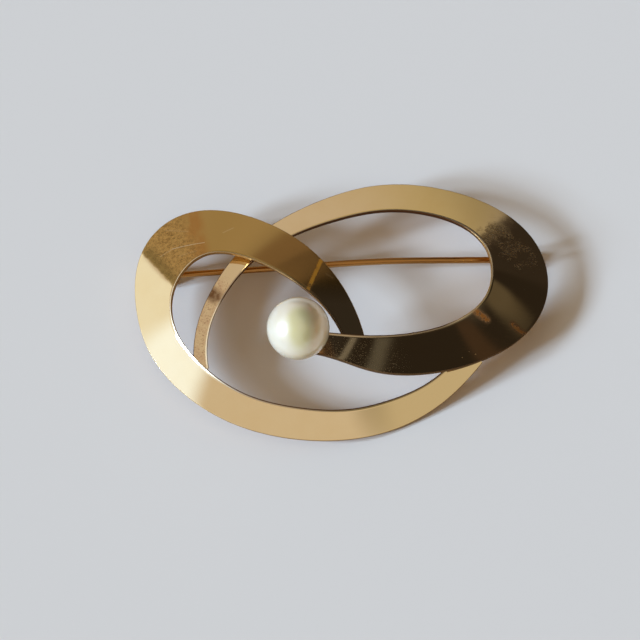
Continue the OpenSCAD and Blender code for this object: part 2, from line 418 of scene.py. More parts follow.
scratches(left, "#f6e9cf", 0.4, 0.06, (
    ((-20.4, 7.75), (-16.5, 8.1), 0.02, 0.6), ((-21.9, 7.0), (-20.4, 7.75), 0.015, 0.3),
    ((-21.2, 10.8), (-18.4, 10.1), 0.015, 0.18), ((-19.6, 6.4), (-17.4, 6.9), 0.015, 0.18),
    ((-14.2, 9.5), (-12.9, 10.2), 0.02, 0.3), ((-2.0, 3.2), (-1.2, 2.6), 0.02, 0.3),
))
# painted reflection: an orange streak near the start, standing for a thin light strip of the room
painted_reflection_mark = near_line(tree, place, (-2.5, 5.1), (-4.4, 0.7), 0.12, 0.3)
patchy = mottle(tree, place, 0.9, 0.1, 0.5, 2.0)
cover(left, product(tree, painted_reflection_mark, patchy, 0.95), "#f0b348", 0.4)
olive = near_line(tree, place, (6.0, -12.8), (14.0, -9.0), 2.0, 4.5)
cover(left, product(tree, olive, 0.8), "#e8d5a4", 0.08)

# painted shade near the start, under the right ribbon; painted dark reflection on the front arm's rim
near_start = near_line(tree, place, (1.6, -12.0), (-2.0, 2.5), 3.0, 1.5)
rims_with_painted_shade(left, calc(tree, "MAXIMUM", from_y(left, -6, -9), near_start), "#a88658")
left_gold = close(left)
print(left_gold.name, "has", len(tree.nodes), "nodes")

# %% [markdown]
# ### Wear of the right ribbon
#
# Its turn carries a patch of cross-hatched grain. Further round towards the front, two orange spots are
# painted reflections of a thin light strip of the room, an orange patch beside the pearl is a painted
# reflection of the pearl, and dust has gathered near the pearl. Its narrow end was heated when it was
# soldered: it is paler, pitted, and keeps one dark spot of oxide.

# %% Gold of the right ribbon
# size in mm of the grains of dust
DUST = 0.15

right = worn_ribbon("polished gold, right ribbon")
tree, place = right["tree"], right["place"]
grained = near_line(tree, place, (19.1, 8.2), (22.3, 5.6), 1.5, 1.4)
one_way, other_way = [mottle(tree, place, 0.36, 0.5, 0.62, 3.0, (1.0, 0.4, 1.0), turn) for turn in (35, -30)]
patches = mottle(tree, place, 1.3, 0.35, 0.55, 2.0)
speckled = product(tree, calc(tree, "MAXIMUM", one_way, other_way), patches, grained)
cover(right, product(tree, speckled, 0.9), "#d0ae7c", 0.42)
raise_by(right, speckled, 0.003)

# painted reflections: two orange spots, standing for a thin light strip of the room
patchy = mottle(tree, place, 0.4, 0.1, 0.55, 3.0)
for start, end, half_wide in (((15.6, -1.9), (17.0, -3.0), 0.15), ((20.2, -3.4), (21.6, -4.5), 0.05)):
    painted_reflection_mark = near_line(tree, place, start, end, half_wide, 0.65)
    cover(right, product(tree, painted_reflection_mark, patchy, 0.85), "#d9861c", 0.4)
scratches(right, "#d9a55c", 0.5, 0.05, (
    ((20.1, 9.15), (20.15, 9.15), 0.06, 0.6), ((15.3, -7.35), (15.4, -7.3), 0.03, 0.7),
    ((13.7, -7.8), (13.75, -7.85), 0.03, 0.6), ((14.6, -7.0), (14.65, -7.1), 0.02, 0.5),
))

heated = near_line(tree, place, (-15.6, 1.0), (-17.6, -6.0), 2.2, 1.2)
pale = mottle(tree, place, 0.8, 0.35, 0.7, 3.0)
cover(right, product(tree, heated, pale, 0.7), "#e8c9a6", 0.2)
pitted = product(tree, mottle(tree, place, 0.2, 0.55, 0.75, 3.0), heated, 0.6)
cover(right, pitted, "#a9794a", 0.35)
raise_by(right, pitted, -0.004)
oxide = near_line(tree, place, (-16.6, 2.3), (-15.4, 1.1), 0.25, 1.1)
blotchy = calc(tree, "MULTIPLY_ADD", mottle(tree, place, 0.5, 0.2, 0.6, 4.0), 0.5, 0.45)
cover(right, product(tree, oxide, blotchy), "#7d5430", 0.36)

# painted reflection of the pearl: an orange patch beside it
painted_pearl_reflection = near_line(tree, place, (-2.9, -6.6), (-2.5, -8.2), 0.5, 1.0)
cover(right, product(tree, painted_pearl_reflection, 0.6), "#c07c34", 0.3)
# painted shade beside the pearl and under the left ribbon; painted dark reflection on the back arm's rim
near_pearl = near_line(tree, place, (-8.0, -5.5), (9.0, -7.0), 3.5, 3.0)
shade_under_left_ribbon = near_line(tree, place, (-10.0, 7.5), (-14.5, 2.5), 1.5, 2.0)
brown = calc(tree, "MAXIMUM", calc(tree, "MAXIMUM", from_y(right, 6.5, 9.5), near_pearl), shade_under_left_ribbon)
# painted shade: this outer rim is a darker brown than the left ribbon's, on the side away from the window
rims_with_painted_shade(right, brown, "#715335")

dusty = near_line(tree, place, (-0.8, -8.2), (4.6, -8.8), 1.0, 3.0)
grains = add(tree, "ShaderNodeTexVoronoi", {"Vector": place, "Scale": 1 / (DUST * MM)})
chance = add(tree, "ShaderNodeSeparateXYZ", {0: grains.outputs["Color"]})
grain_size = product(tree, dusty, chance.outputs["X"], 0.42)
motes = calc(tree, "LESS_THAN", grains.outputs["Distance"], grain_size)
cover(right, product(tree, motes, 0.45), "#a89a70", 0.6)
right_gold = close(right)
print(right_gold.name, "has", len(tree.nodes), "nodes")

# %% [markdown]
# ### Gold of the pin, the rivet and the fittings
#
# Drawn wire keeps fine lines along its length. Its gold is much darker than the ribbons', as painted
# shade, because the pin lies in the ribbons' shade. The rivet and the fittings were filed and tumbled, so
# they are even, a little hazy, and scratched more deeply than the ribbons.

# %% Gold of the small pieces
TUMBLED_SCRATCH = 0.002

# painted shade: the wire's gold is far darker than the ribbons', as the pin lies in their shade
wire = clean_metal("drawn gold wire in painted shade", "#b08148", 0.2)
raise_by(wire, mottle(wire["tree"], wire["place"], 1.0, 0.4, 0.7, 1.0, (4.0, 0.12, 0.12)), -0.002)
shaded_wire_gold = close(wire)
rivet_metal = clean_metal("rivet gold", "#eec684", 0.22)
hairlines(rivet_metal, TUMBLED_SCRATCH)
rivet_gold = close(rivet_metal)
fitting = clean_metal("gold of the fittings", "#efd3a0", 0.2)
hairlines(fitting, TUMBLED_SCRATCH)
fitting_gold = close(fitting)
print("gold:", [m.name for m in (left_gold, right_gold, shaded_wire_gold, rivet_gold, fitting_gold)])

# %% [markdown]
# ## The two ribbons
#
# Each ribbon is a strip of sheet that keeps flat across and bends along a smooth path. The jeweller
# would cut it to its changing width and bend it over a mandrel. Here its path is a curve whose
# control points, the stations, pull it into place. A station's radius holds the strip's width there
# and its tilt the angle to which the strip is banked, so the curve alone says all. A node tree then
# sweeps the sheet's section along it, because every ring of the mesh follows the same rule.

# %% Stations of the ribbons
# x, y, height of the middle, width, bank in degrees
LEFT_STATIONS = [
    (1.5, -15.1, 5.6, 2.4, 0), (1.6, -7.0, 5.9, 2.2, 2), (-0.9, 0.1, 6.3, 3.5, 4),
    (-5.9, 5.9, 6.7, 5.6, 6), (-12.5, 9.7, 6.7, 6.2, 8), (-18.2, 10.1, 6.5, 7.8, 10),
    (-21.7, 6.6, 6.1, 7.6, 20), (-23.1, 1.1, 5.3, 4.9, 32), (-22.1, -4.7, 4.7, 4.3, 33),
    (-18.1, -9.9, 4.1, 4.1, 29), (-12.9, -13.5, 3.4, 3.8, 26), (-6.7, -15.0, 2.6, 3.9, 25),
    (-0.4, -15.1, 1.6, 3.6, 25), (5.3, -13.5, 0.8, 3.7, 25), (10.8, -11.0, 1.2, 2.9, 23),
    (15.3, -7.3, 3.4, 2.7, 16), (19.2, -2.3, 5.8, 3.4, 9),
]
RIGHT_STATIONS = [
    (-14.4, -5.2, 7.2, 2.9, -2), (-6.8, -5.8, 7.0, 2.5, 0), (-1.1, -6.9, 6.7, 3.1, 2),
    (3.4, -8.1, 6.0, 4.9, 5), (8.7, -7.7, 5.0, 5.4, 10), (14.6, -5.9, 4.0, 5.6, 15),
    (19.9, -2.5, 3.9, 6.7, 20), (22.0, 2.7, 4.2, 8.1, 24), (21.0, 8.1, 4.4, 7.3, 21),
    (16.8, 12.2, 4.6, 5.3, 16), (10.8, 14.4, 4.8, 4.7, 12), (4.9, 14.8, 5.0, 4.4, 9),
    (-0.8, 13.1, 5.4, 3.8, 7), (-6.4, 10.5, 5.9, 3.0, 5), (-11.3, 6.9, 6.2, 2.4, 5),
    (-14.8, 2.3, 5.9, 1.9, 3), (-17.3, -2.6, 5.2, 1.6, 0), (-17.7, -8.1, 4.6, 1.7, 8),
    (-16.0, -14.1, 4.1, 2.2, 16),
]
SHEET = 0.5
EDGE_ROUND = 0.07
RINGS_PER_STATION = 36


def station_curve(name, stations):
    """The ribbon's path as a curve object, with width as radius and bank as tilt."""
    curve = bpy.data.curves.new(name, "CURVE")
    curve.dimensions = "3D"
    spline = curve.splines.new("NURBS")
    spline.points.add(len(stations) - 1)
    for point, (x, y, z, width, bank) in zip(spline.points, stations):
        point.co = (*mm(x, y, z), 1)
        point.radius = width * MM
        point.tilt = math.radians(bank)
    spline.order_u = 4
    spline.use_endpoint_u = False
    spline.resolution_u = RINGS_PER_STATION
    return show(name, curve)


print("stations:", len(LEFT_STATIONS), "and", len(RIGHT_STATIONS))

# %% [markdown]
# ### The node tree that sweeps the sheet
#
# One tree makes both ribbons. Its inputs are the sizes of the sheet, and it reads the path ring by
# ring. Each ring keeps what the sweep needs later: its place, its heading, its width and its bank.

# %% Ribbon tree, inputs and path
HALF_SECTION = 0.6
LIP = 0.06
FILED_BELOW = 0.75

RIBBON_SIZES = {
    "Sheet thickness": SHEET * MM, "Edge round": EDGE_ROUND * MM, "Half section": HALF_SECTION * MM,
    "Lip": LIP * MM, "Narrower below": FILED_BELOW,
}


def new_tree(name, shape_in, sizes, shape_out):
    """A geometry tree whose inputs are a shape, sizes and a metal, and whose output is a shape."""
    tree = bpy.data.node_groups.new(name, "GeometryNodeTree")
    tree.is_modifier = True
    tree.interface.new_socket(shape_in, in_out="INPUT", socket_type="NodeSocketGeometry")
    for label, size in sizes.items():
        socket = tree.interface.new_socket(label, in_out="INPUT", socket_type="NodeSocketFloat")
        socket.default_value = size
    tree.interface.new_socket("Metal", in_out="INPUT", socket_type="NodeSocketMaterial")
    tree.interface.new_socket(shape_out, in_out="OUTPUT", socket_type="NodeSocketGeometry")
    return tree


ribbon_tree = new_tree("sheet along its stations", "Stations", RIBBON_SIZES, "Ribbon")
given = add(ribbon_tree, "NodeGroupInput").outputs
path = add(ribbon_tree, "GeometryNodeResampleCurve", {0: given["Stations"]}, mode="EVALUATED")
along_path = add(ribbon_tree, "GeometryNodeCaptureAttribute", {0: path}, domain="POINT")
for item, kind in (("place", "VECTOR"), ("along", "VECTOR"), ("width", "FLOAT"), ("bank", "FLOAT")):
    along_path.capture_items.new(kind, item)
for item, field in (
    ("place", "GeometryNodeInputPosition"), ("along", "GeometryNodeInputTangent"),
    ("width", "GeometryNodeInputRadius"), ("bank", "GeometryNodeInputCurveTilt"),
):
    ribbon_tree.links.new(add(ribbon_tree, field).outputs[0], along_path.inputs[item])
print("inputs of the ribbon tree:", [socket.name for socket in given if socket.name])

# %% [markdown]
# ### The section of the sheet
#
# A narrow rectangle with rounded corners. Its two faces are cut into short steps, so that the filed
# lip has points to rise on.

# %% Ribbon tree, section
CORNER_STEPS = 4
FACE_CUTS = 11.0
# a point counts as on a face from this share of the thickness away from the middle
FACE_SHARE = 0.499

wide = calc(ribbon_tree, "MULTIPLY", given["Half section"], 2.0)
box = add(ribbon_tree, "GeometryNodeCurvePrimitiveQuadrilateral",
          {"Width": wide, "Height": given["Sheet thickness"]})
rounded = add(ribbon_tree, "GeometryNodeFilletCurve", {
    "Curve": box, "Count": CORNER_STEPS, "Radius": given["Edge round"], "Limit Radius": True,
}, mode="POLY")
outline_point = add(ribbon_tree, "ShaderNodeSeparateXYZ", {0: add(ribbon_tree, "GeometryNodeInputPosition")})
off_middle = calc(ribbon_tree, "ABSOLUTE", outline_point.outputs["Y"])
face_level = calc(ribbon_tree, "MULTIPLY", given["Sheet thickness"], FACE_SHARE)
on_face = calc(ribbon_tree, "GREATER_THAN", off_middle, face_level)
turning = calc(ribbon_tree, "MULTIPLY", outline_point.outputs["X"], outline_point.outputs["Y"])
leaving = calc(ribbon_tree, "GREATER_THAN", turning, 0.0)
long_side = calc(ribbon_tree, "MULTIPLY", on_face, leaving)
cuts = calc(ribbon_tree, "MULTIPLY", long_side, FACE_CUTS)
parted = add(ribbon_tree, "GeometryNodeSubdivideCurve", {"Curve": rounded, "Cuts": cuts})
section = add(ribbon_tree, "GeometryNodeCaptureAttribute", {0: parted}, domain="POINT")
section.capture_items.new("VECTOR", "corner")
ribbon_tree.links.new(add(ribbon_tree, "GeometryNodeInputPosition").outputs[0], section.inputs["corner"])
print("cuts on each face:", int(FACE_CUTS))

# %% [markdown]
# ### Width and filed edge
#
# The two halves of the swept section are moved apart until the strip has its width, so the corners
# keep their round shape where the ribbon widens. The cuts crowd towards the rims, so that the face
# between them shades flat. The inner rim is filed narrower below, which makes its edge look thin.

# %% Ribbon tree, width
# in mm: how far from the middle layer the upper and the lower side begin, and where the halves part
SIDES_FROM = 0.05
HALVES_PART = 0.1

swept = add(ribbon_tree, "GeometryNodeCurveToMesh", {
    "Curve": along_path.outputs["Geometry"], "Profile Curve": section.outputs["Geometry"], "Fill Caps": True,
})
even_corner = add(ribbon_tree, "ShaderNodeSeparateXYZ", {0: section.outputs["corner"]}).outputs
flat_half = calc(ribbon_tree, "SUBTRACT", given["Half section"], given["Edge round"])
from_middle = calc(ribbon_tree, "ABSOLUTE", even_corner["X"])
share = calc(ribbon_tree, "MINIMUM", calc(ribbon_tree, "DIVIDE", from_middle, flat_half), 1.0)
crowd = calc(ribbon_tree, "SUBTRACT", 2.0, share)
below = calc(ribbon_tree, "LESS_THAN", even_corner["Y"], -SIDES_FROM * MM)
inner = calc(ribbon_tree, "GREATER_THAN", even_corner["X"], 0.0)
below_inner = calc(ribbon_tree, "MULTIPLY", below, inner)
filed = add(ribbon_tree, "ShaderNodeMapRange", {
    "Value": below_inner, "To Min": 1.0, "To Max": given["Narrower below"],
})
corner_x = calc(ribbon_tree, "MULTIPLY", calc(ribbon_tree, "MULTIPLY", even_corner["X"], crowd), filed)
half_width = calc(ribbon_tree, "MULTIPLY", along_path.outputs["width"], 0.5)
spread = calc(ribbon_tree, "SUBTRACT", half_width, given["Half section"])
inward = calc(ribbon_tree, "MULTIPLY", spread, -1.0)
shift = add(ribbon_tree, "ShaderNodeMapRange", {
    "Value": corner_x, "From Min": -HALVES_PART * MM, "From Max": HALVES_PART * MM,
    "To Min": inward, "To Max": spread,
})
sideways = calc(ribbon_tree, "ADD", corner_x, shift)
print("lower inner edge set back by", round(HALF_SECTION * (1 - FILED_BELOW), 2), "mm")

# %% [markdown]
# ### Bank and lip
#
# Each ring is turned about the path by its bank. Filing has turned up a slight lip along the inner
# rim, which is what draws the fine light or dark line there.

# %% Ribbon tree, bank and lip
LIP_START, LIP_END = 0.3, 0.53

heading = add(ribbon_tree, "ShaderNodeSeparateXYZ", {0: along_path.outputs["along"]}).outputs
minus_y = calc(ribbon_tree, "MULTIPLY", heading["Y"], -1.0)
aside = add(ribbon_tree, "ShaderNodeCombineXYZ", {"X": minus_y, "Y": heading["X"]})
level = add(ribbon_tree, "ShaderNodeVectorMath", {0: aside}, operation="NORMALIZE")
bank_cos = calc(ribbon_tree, "COSINE", along_path.outputs["bank"])
bank_sin = calc(ribbon_tree, "SINE", along_path.outputs["bank"])
flat_part = add(ribbon_tree, "ShaderNodeVectorMath", {0: level, "Scale": bank_cos}, operation="SCALE")
raised_part = add(ribbon_tree, "ShaderNodeCombineXYZ", {"Z": bank_sin})
across = add(ribbon_tree, "ShaderNodeVectorMath", {0: flat_part, 1: raised_part}, operation="ADD")
facing = add(ribbon_tree, "ShaderNodeVectorMath",
             {0: along_path.outputs["along"], 1: across}, operation="CROSS_PRODUCT")
face_up = add(ribbon_tree, "ShaderNodeVectorMath", {0: facing}, operation="NORMALIZE")

step_across = add(ribbon_tree, "ShaderNodeVectorMath", {0: across, "Scale": sideways}, operation="SCALE")
near_rim = add(ribbon_tree, "ShaderNodeMapRange", {
    "Value": corner_x, "From Min": LIP_START * MM, "From Max": LIP_END * MM,
})
upper = calc(ribbon_tree, "GREATER_THAN", even_corner["Y"], SIDES_FROM * MM)
lip_share = calc(ribbon_tree, "MULTIPLY", near_rim, upper)
raised = calc(ribbon_tree, "MULTIPLY_ADD", lip_share, given["Lip"], even_corner["Y"])
step_up = add(ribbon_tree, "ShaderNodeVectorMath", {0: face_up, "Scale": raised}, operation="SCALE")
off_path = add(ribbon_tree, "ShaderNodeVectorMath", {0: step_across, 1: step_up}, operation="ADD")
spot = add(ribbon_tree, "ShaderNodeVectorMath",
           {0: along_path.outputs["place"], 1: off_path}, operation="ADD")
shaped = add(ribbon_tree, "GeometryNodeSetPosition", {"Geometry": swept, "Position": spot})
print("lip is", LIP, "mm high")

# %% [markdown]
# ### Marks for the metal
#
# The tree writes down where the inner rim, the outer rim, the lip and the underside are, so that the
# metal can be dull, satin, or dark brown with painted shade exactly there. Then the doubled points
# are welded.

# %% Ribbon tree, marks and finish
# a rim's mark sets in at this share of the flat face
RIM_FROM = 0.98
WELD = 0.001

to_outside = calc(ribbon_tree, "MULTIPLY", even_corner["X"], -1.0)
flat_end = calc(ribbon_tree, "MULTIPLY", flat_half, RIM_FROM)
on_inner, on_outer = [add(ribbon_tree, "ShaderNodeMapRange", {
    "Value": reach, "From Min": flat_end, "From Max": flat_half,
}) for reach in (even_corner["X"], to_outside)]
noted = shaped
for name, share in (("rim", on_inner), ("outer", on_outer), ("lip", lip_share), ("under", below)):
    noted = add(ribbon_tree, "GeometryNodeStoreNamedAttribute",
                {"Geometry": noted, "Name": name, "Value": share}, data_type="FLOAT", domain="POINT")


def finish_tree(tree, shape, metal):
    """Welds, smooths and clothes the shape, and makes it the tree's output."""
    welded = add(tree, "GeometryNodeMergeByDistance", {"Geometry": shape, "Distance": WELD * MM})
    smooth = add(tree, "GeometryNodeSetShadeSmooth", {"Geometry": welded, "Shade Smooth": True})
    real = add(tree, "GeometryNodeRealizeInstances", {"Geometry": smooth})
    dressed = add(tree, "GeometryNodeSetMaterial", {"Geometry": real, "Material": metal})
    add(tree, "NodeGroupOutput", {0: dressed})


finish_tree(ribbon_tree, noted, given["Metal"])
print("nodes in the ribbon tree:", len(ribbon_tree.nodes))

# %% [markdown]
# ### From tree to plain mesh
#
# The tree's result is read once as a mesh and the curve that carried it is thrown away, so that the
# finished ribbon holds nothing that could still change.

# %% Make the ribbons
def plain_mesh(source, name):
    """The evaluated shape of an object as a new object with a mesh of its own."""
    graph = bpy.context.evaluated_depsgraph_get()
    mesh = bpy.data.meshes.new_from_object(source.evaluated_get(graph))
    mesh.name = name
    data = source.data
    bpy.data.objects.remove(source)
    if isinstance(data, bpy.types.Curve):
        bpy.data.curves.remove(data)
    return show(name, mesh)


def use_tree(made, tree, values):
    """Puts a node tree on an object and sets its named inputs."""
    modifier = made.modifiers.new(tree.name, "NODES")
    modifier.node_group = tree
    for item in tree.interface.items_tree:
        if item.in_out == "INPUT" and item.name in values:
            modifier[item.identifier] = values[item.name]


def make_ribbon(name, stations, metal):
    carrier = station_curve(name, stations)
    use_tree(carrier, ribbon_tree, {**RIBBON_SIZES, "Metal": metal})
    ribbon = plain_mesh(carrier, name)
    ribbon.data.set_sharp_from_angle(angle=math.radians(50))
    print(name, "has", len(ribbon.data.polygons), "faces")
    return ribbon


left_ribbon = make_ribbon("left_ribbon", LEFT_STATIONS, left_gold)
right_ribbon = make_ribbon("right_ribbon", RIGHT_STATIONS, right_gold)
brooch_pieces = [left_ribbon, right_ribbon]

# %% [markdown]
# ## Round pieces
#
# The eye, the rivet, the hook, the peg and the pearl are all turned about an axis. One function turns
# a profile of points, each a distance from the axis and a place along it, and closes its poles.

# %% A lathe
def turned(name, profile, place, axis, material, closed=False, start=0.0, sweep=360.0, steps=96):
    """A profile of (radius, along) points in mm, turned about an axis through a place."""
    mesh = bmesh.new()
    axis = Vector(axis).normalized()
    side = axis.orthogonal().normalized() if abs(axis.x) < 0.9 else Vector((0, 0, -1))
    full = abs(sweep - 360) < 1e-6
    rings = []
    for step in range(steps if full else steps + 1):
        turn = math.radians(start + sweep * step / steps)
        out = Matrix.Rotation(turn, 3, axis) @ side
        rings.append([mesh.verts.new((out * r + axis * h) * MM + place) for r, h in profile])
    around = len(rings) if full else len(rings) - 1
    spans = len(profile) if closed else len(profile) - 1
    for a in range(around):
        here, there = rings[a], rings[(a + 1) % len(rings)]
        for b in range(spans):
            c = (b + 1) % len(profile)
            mesh.faces.new((here[b], there[b], there[c], here[c]))
    if not full and closed:
        mesh.faces.new(rings[0])
        mesh.faces.new(rings[-1][::-1])
    bmesh.ops.remove_doubles(mesh, verts=mesh.verts, dist=1e-7)
    bmesh.ops.recalc_face_normals(mesh, faces=mesh.faces)
    data = bpy.data.meshes.new(name)
    mesh.to_mesh(data)
    mesh.free()
    data.shade_smooth()
    data.set_sharp_from_angle(angle=math.radians(50))
    data.materials.append(material)
    return show(name, data)


def rounded_box(r_in, r_out, half, corner, steps=4):
    """The outline of a rectangle with rounded corners, as (radius, along) points."""
    points = []
    for r, h, first in (
        (r_out - corner, half - corner, 0), (r_in + corner, half - corner, 90),
        (r_in + corner, -half + corner, 180), (r_out - corner, -half + corner, 270),
    ):
        for k in range(steps + 1):
            turn = math.radians(first + 90 * k / steps)
            points.append((r + corner * math.cos(turn), h + corner * math.sin(turn)))
    return points


print("points round a box:", len(rounded_box(0.9, 1.35, 0.8, 0.1)))

# %% [markdown]
# ## The catch
#
# A strip bent nearly full circle, soldered under the right ribbon on a short neck. Its mouth faces the
# table, and its two tips are what the brooch rests on at that end.

# %% Catch hook and neck
PIN_Y = 7.15
CATCH_X, CATCH_WIDTH, CATCH_INNER, CATCH_SHEET, CATCH_MOUTH = 21.4, 1.6, 0.9, 0.45, 0.5
# rounding of the hook's and the neck's edges, and how far a soldered piece sinks into the ribbon
HOOK_EDGE, POST_EDGE, SUNK = 0.12, 0.1, 0.15
mouth_angle = math.degrees(math.asin(CATCH_MOUTH / CATCH_INNER))
catch_z = (CATCH_INNER + CATCH_SHEET) * math.cos(math.radians(mouth_angle))
catch_hook = turned(
    "catch_hook", rounded_box(CATCH_INNER, CATCH_INNER + CATCH_SHEET, CATCH_WIDTH / 2, HOOK_EDGE),
    mm(CATCH_X, PIN_Y, catch_z), (1, 0, 0), fitting_gold, closed=True,
    start=mouth_angle, sweep=360 - 2 * mouth_angle, steps=72)
brooch_pieces.append(catch_hook)
print("hook's middle is", round(catch_z, 3), "mm up")


def underside(ribbon, x, y):
    """Height in mm of a ribbon's lower face over the point x, y."""
    return ribbon.ray_cast(mm(x, y, -1), Vector((0, 0, 1)))[1].z / MM


def post(name, ribbon, x, y, wide, deep, foot, material):
    """An upright block with rounded edges from the height foot into the ribbon above it."""
    mesh = bmesh.new()
    outline = [(x - wide / 2, y - deep / 2), (x + wide / 2, y - deep / 2),
               (x + wide / 2, y + deep / 2), (x - wide / 2, y + deep / 2)]
    low = [mesh.verts.new(mm(a, b, foot)) for a, b in outline]
    high = [mesh.verts.new(mm(a, b, underside(ribbon, a, b) + SUNK)) for a, b in outline]
    mesh.faces.new(low[::-1])
    mesh.faces.new(high)
    for k in range(4):
        mesh.faces.new((low[k], low[(k + 1) % 4], high[(k + 1) % 4], high[k]))
    bmesh.ops.bevel(mesh, geom=mesh.edges, offset=POST_EDGE * MM, segments=3, affect="EDGES", profile=0.5)
    data = bpy.data.meshes.new(name)
    mesh.to_mesh(data)
    mesh.free()
    data.shade_smooth()
    data.materials.append(material)
    return show(name, data)


catch_neck = post("catch_neck", right_ribbon, CATCH_X, PIN_Y, CATCH_WIDTH - 0.2, 0.9,
                  catch_z + CATCH_INNER + CATCH_SHEET / 2, fitting_gold)
brooch_pieces.append(catch_neck)

# %% [markdown]
# ## The hinge
#
# Two upright cheeks with round feet hold a rivet. Each is a small plate, sawn out, drilled and filed,
# so it starts as a flat outline with a hole and gets its thickness and its rounded edges together.

# %% Hinge cheeks
HINGE_X, HINGE_Z, CHEEK_WIDTH, CHEEK_SHEET, EYE_WIDTH = -22.1, 1.25, 2.5, 0.5, 1.1
CHEEK_GAP = EYE_WIDTH + 0.1
RIVET_D, RIVET_HOLE = 0.8, 0.84


def flat_plate(name, loops, thick, edge, material):
    """Closed loops of (x, z) points in mm as an upright plate round y = 0. An inner loop is a hole."""
    curve = bpy.data.curves.new(name, "CURVE")
    curve.dimensions = "2D"
    curve.fill_mode = "BOTH"
    curve.extrude = (thick / 2 - edge) * MM
    curve.bevel_depth = edge * MM
    curve.bevel_resolution = 3
    curve.offset = -edge * MM
    for loop in loops:
        spline = curve.splines.new("POLY")
        spline.points.add(len(loop) - 1)
        for point, (x, z) in zip(spline.points, loop):
            point.co = (x * MM, z * MM, 0, 1)
        spline.use_cyclic_u = True
    made = plain_mesh(show(name, curve), name)
    mesh = bmesh.new()
    mesh.from_mesh(made.data)
    bmesh.ops.remove_doubles(mesh, verts=mesh.verts, dist=WELD * MM)
    bmesh.ops.rotate(mesh, verts=mesh.verts, matrix=Matrix.Rotation(math.radians(90), 3, "X"))
    bmesh.ops.recalc_face_normals(mesh, faces=mesh.faces)
    mesh.to_mesh(made.data)
    mesh.free()
    made.data.materials.clear()
    made.data.materials.append(material)
    made.data.shade_smooth()
    made.data.set_sharp_from_angle(angle=math.radians(35))
    return made


def arc(x, z, radius, first, last, steps):
    """Points on a circle round (x, z) in mm, from the first to the last angle in degrees."""
    turns = [math.radians(first + (last - first) * k / steps) for k in range(steps + 1)]
    return [(x + radius * math.cos(t), z + radius * math.sin(t)) for t in turns]


for side, name in ((-1, "hinge_cheek_near"), (1, "hinge_cheek_far")):
    middle_y = PIN_Y + side * (CHEEK_GAP + CHEEK_SHEET) / 2
    half = CHEEK_WIDTH / 2
    top_right = underside(left_ribbon, HINGE_X + half, middle_y) + SUNK
    top_left = underside(left_ribbon, HINGE_X - half, middle_y) + SUNK
    outline = arc(HINGE_X, HINGE_Z, half, 180, 360, 32)
    outline += [(HINGE_X + half, top_right), (HINGE_X - half, top_left)]
    hole = arc(HINGE_X, HINGE_Z, RIVET_HOLE / 2, 360, 0, 32)[:-1]
    cheek = flat_plate(name, [outline, hole], CHEEK_SHEET, EDGE_ROUND, fitting_gold)
    cheek.data.transform(Matrix.Translation(mm(0, middle_y, 0)))
    brooch_pieces.append(cheek)
    print(name, "tops at", round(top_left, 2), round(top_right, 2), "mm")

# %% [markdown]
# ## The peg
#
# A short post stands on the right ribbon, and the half-drilled pearl is glued on it. Its end is
# chamfered, as it would be so that it finds the hole.

# %% Peg of the pearl
PEARL_D, PEARL_X, PEARL_Y, PEARL_Z = 7.4, -5.8, -6.7, 10.95
PEG_D, PEG_REACH, PEG_CHAMFER = 0.8, 3.4, 0.1

peg_foot = PEARL_Z - PEARL_D / 2 - SHEET / 2
peg_r, peg_top = PEG_D / 2, SHEET / 2 + PEG_REACH
peg = turned(
    "pearl_peg",
    [(0, 0), (peg_r, 0), (peg_r, peg_top - PEG_CHAMFER), (peg_r - PEG_CHAMFER, peg_top), (0, peg_top)],
    mm(PEARL_X, PEARL_Y, peg_foot), (0, 0, 1), fitting_gold, steps=48)
brooch_pieces.append(peg)
print("peg is", round(peg_top, 2), "mm long")

# %% [markdown]
# ## The rivet
#
# A short gold wire through cheeks and eye, with both ends hammered into low domes.

# %% Rivet
HEAD_D, HEAD_T, RIVET_SLACK = 1.3, 0.25, 0.02
rivet_half = CHEEK_GAP / 2 + CHEEK_SHEET + RIVET_SLACK
dome = [(HEAD_D / 2 * math.cos(math.radians(t)), rivet_half + HEAD_T * math.sin(math.radians(t)))
        for t in range(0, 91, 10)]
rivet_side = [(RIVET_D / 2, 0), (RIVET_D / 2, rivet_half), (HEAD_D / 2, rivet_half)] + dome[1:]
rivet_profile = [(r, -h) for r, h in rivet_side[:0:-1]] + rivet_side
hinge_middle = mm(HINGE_X, PIN_Y, HINGE_Z)
rivet = turned("hinge_rivet_domed", rivet_profile, hinge_middle, (0, 1, 0), rivet_gold, steps=64)
brooch_pieces.append(rivet)
print("rivet is", round(2 * (rivet_half + HEAD_T), 2), "mm long")

# %% [markdown]
# ## The pin
#
# A hard-drawn wire soldered into a small tube, the eye, that turns on the rivet. The wire runs up,
# round a gentle spring bend and down into the hook, and its end is filed to a point. A second node
# tree draws it: a circle swept along the path, whose size falls near the tip.

# %% Pin path and wire
STEM_D, STEM_RUN, BEND_R, RISE, FALL = 0.8, 23, 80, 2.6, 4.2
STEM_START, STEM_REACH, TAPER, TIP_D = 0.75, 44.8, 3.6, 0.3
BEND_STEPS, RING_SPACING = 24, 0.15
EYE_D, EYE_SLACK, EYE_EDGE = 2.0, 0.05, 0.08

rise, fall = math.radians(RISE), math.radians(FALL)
bend_start = (STEM_RUN * math.cos(rise), STEM_RUN * math.sin(rise))
bend_middle = (bend_start[0] + BEND_R * math.sin(rise), bend_start[1] - BEND_R * math.cos(rise))
stem_points = [(STEM_START * math.cos(rise), STEM_START * math.sin(rise))]
for k in range(BEND_STEPS + 1):
    lean = rise - (rise + fall) * k / BEND_STEPS
    stem_points.append((bend_middle[0] - BEND_R * math.sin(lean), bend_middle[1] + BEND_R * math.cos(lean)))
end_x = stem_points[-1][0]
stem_points.append((STEM_REACH, stem_points[-1][1] - (STEM_REACH - end_x) * math.tan(fall)))

